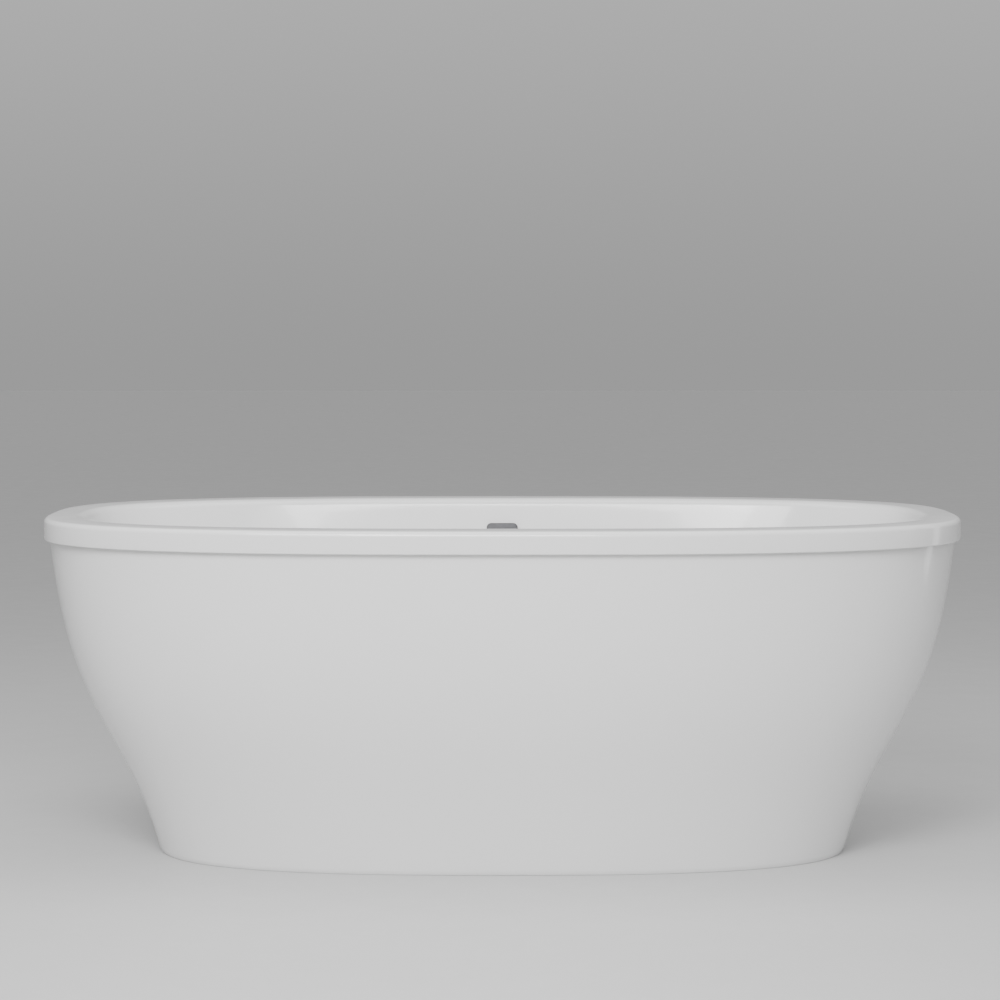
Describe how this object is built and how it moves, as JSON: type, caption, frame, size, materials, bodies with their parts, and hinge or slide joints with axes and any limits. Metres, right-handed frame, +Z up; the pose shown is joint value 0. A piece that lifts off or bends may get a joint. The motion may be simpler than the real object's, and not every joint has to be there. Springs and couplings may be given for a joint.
{
  "type": "freestanding bathtub",
  "caption": "Oval double-ended freestanding bath with a flat banded rim, waisted skirt, wall overflow, push-to-open waste and levelling feet.",
  "frame": {"origin": "centre of the footprint, on the floor", "axes": "+X along the bath, +Y towards the wall with the overflow, +Z up"},
  "size_m": [1.676, 0.864, 0.62],
  "materials": {
    "acrylic": "gloss",
    "adhesive": "satin",
    "board": "matte",
    "galvanised": "satin",
    "zinc": "satin",
    "chrome": "polished",
    "brass": "satin",
    "plumbing": "satin",
    "rubber": "matte"
  },
  "bodies": {
    "tub": {"basin_shell": "acrylic", "skirt_shell": "acrylic", "rim_bond": "adhesive", "floor_board": "board", "rail_front": "galvanised", "rail_back": "galvanised", "crossbar_1": "galvanised", "crossbar_2": "galvanised", "crossbar_3": "galvanised", "crossbar_4": "galvanised", "skirt_block_1": "board", "skirt_block_2": "board", "skirt_block_3": "board", "skirt_block_4": "board", "foot_nut_1": "zinc", "foot_nut_2": "zinc", "foot_nut_3": "zinc", "foot_nut_4": "zinc", "foot_nut_5": "zinc", "foot_nut_6": "zinc", "drain_flange": "chrome", "flange_gasket": "rubber", "shoe_gasket": "rubber", "drain_shoe": "plumbing", "plug_cartridge": "brass", "plug_spring": "zinc", "tail_pipe": "plumbing", "tail_nut": "plumbing", "tail_washer": "rubber", "overflow_cover": "chrome", "overflow_bracket": "zinc", "overflow_screw_1": "zinc", "overflow_screw_2": "zinc", "overflow_gasket": "rubber", "overflow_body": "plumbing", "overflow_pipe": "plumbing", "elbow_nut": "plumbing", "elbow_washer": "rubber", "branch_nut": "plumbing", "branch_washer": "rubber"},
    "plug": {"plug_cap": "chrome", "plug_seal": "rubber", "plug_stem": "zinc"},
    "foot_1": {"foot_pad_1": "rubber", "foot_stud_1": "zinc"},
    "foot_2": {"foot_pad_2": "rubber", "foot_stud_2": "zinc"},
    "foot_3": {"foot_pad_3": "rubber", "foot_stud_3": "zinc"},
    "foot_4": {"foot_pad_4": "rubber", "foot_stud_4": "zinc"},
    "foot_5": {"foot_pad_5": "rubber", "foot_stud_5": "zinc"},
    "foot_6": {"foot_pad_6": "rubber", "foot_stud_6": "zinc"}
  },
  "joints": [
    {"name": "plug_lift", "type": "slide", "parent": "tub", "child": "plug", "axis": [0, 0, 1], "range_m": [0, 0.01], "deforming": ["plug_spring"]},
    {"name": "foot_1_height", "type": "slide", "parent": "tub", "child": "foot_1", "axis": [0, 0, 1], "range_m": [-0.012, 0.012]},
    {"name": "foot_2_height", "type": "slide", "parent": "tub", "child": "foot_2", "axis": [0, 0, 1], "range_m": [-0.012, 0.012]},
    {"name": "foot_3_height", "type": "slide", "parent": "tub", "child": "foot_3", "axis": [0, 0, 1], "range_m": [-0.012, 0.012]},
    {"name": "foot_4_height", "type": "slide", "parent": "tub", "child": "foot_4", "axis": [0, 0, 1], "range_m": [-0.012, 0.012]},
    {"name": "foot_5_height", "type": "slide", "parent": "tub", "child": "foot_5", "axis": [0, 0, 1], "range_m": [-0.012, 0.012]},
    {"name": "foot_6_height", "type": "slide", "parent": "tub", "child": "foot_6", "axis": [0, 0, 1], "range_m": [-0.012, 0.012]}
  ]
}
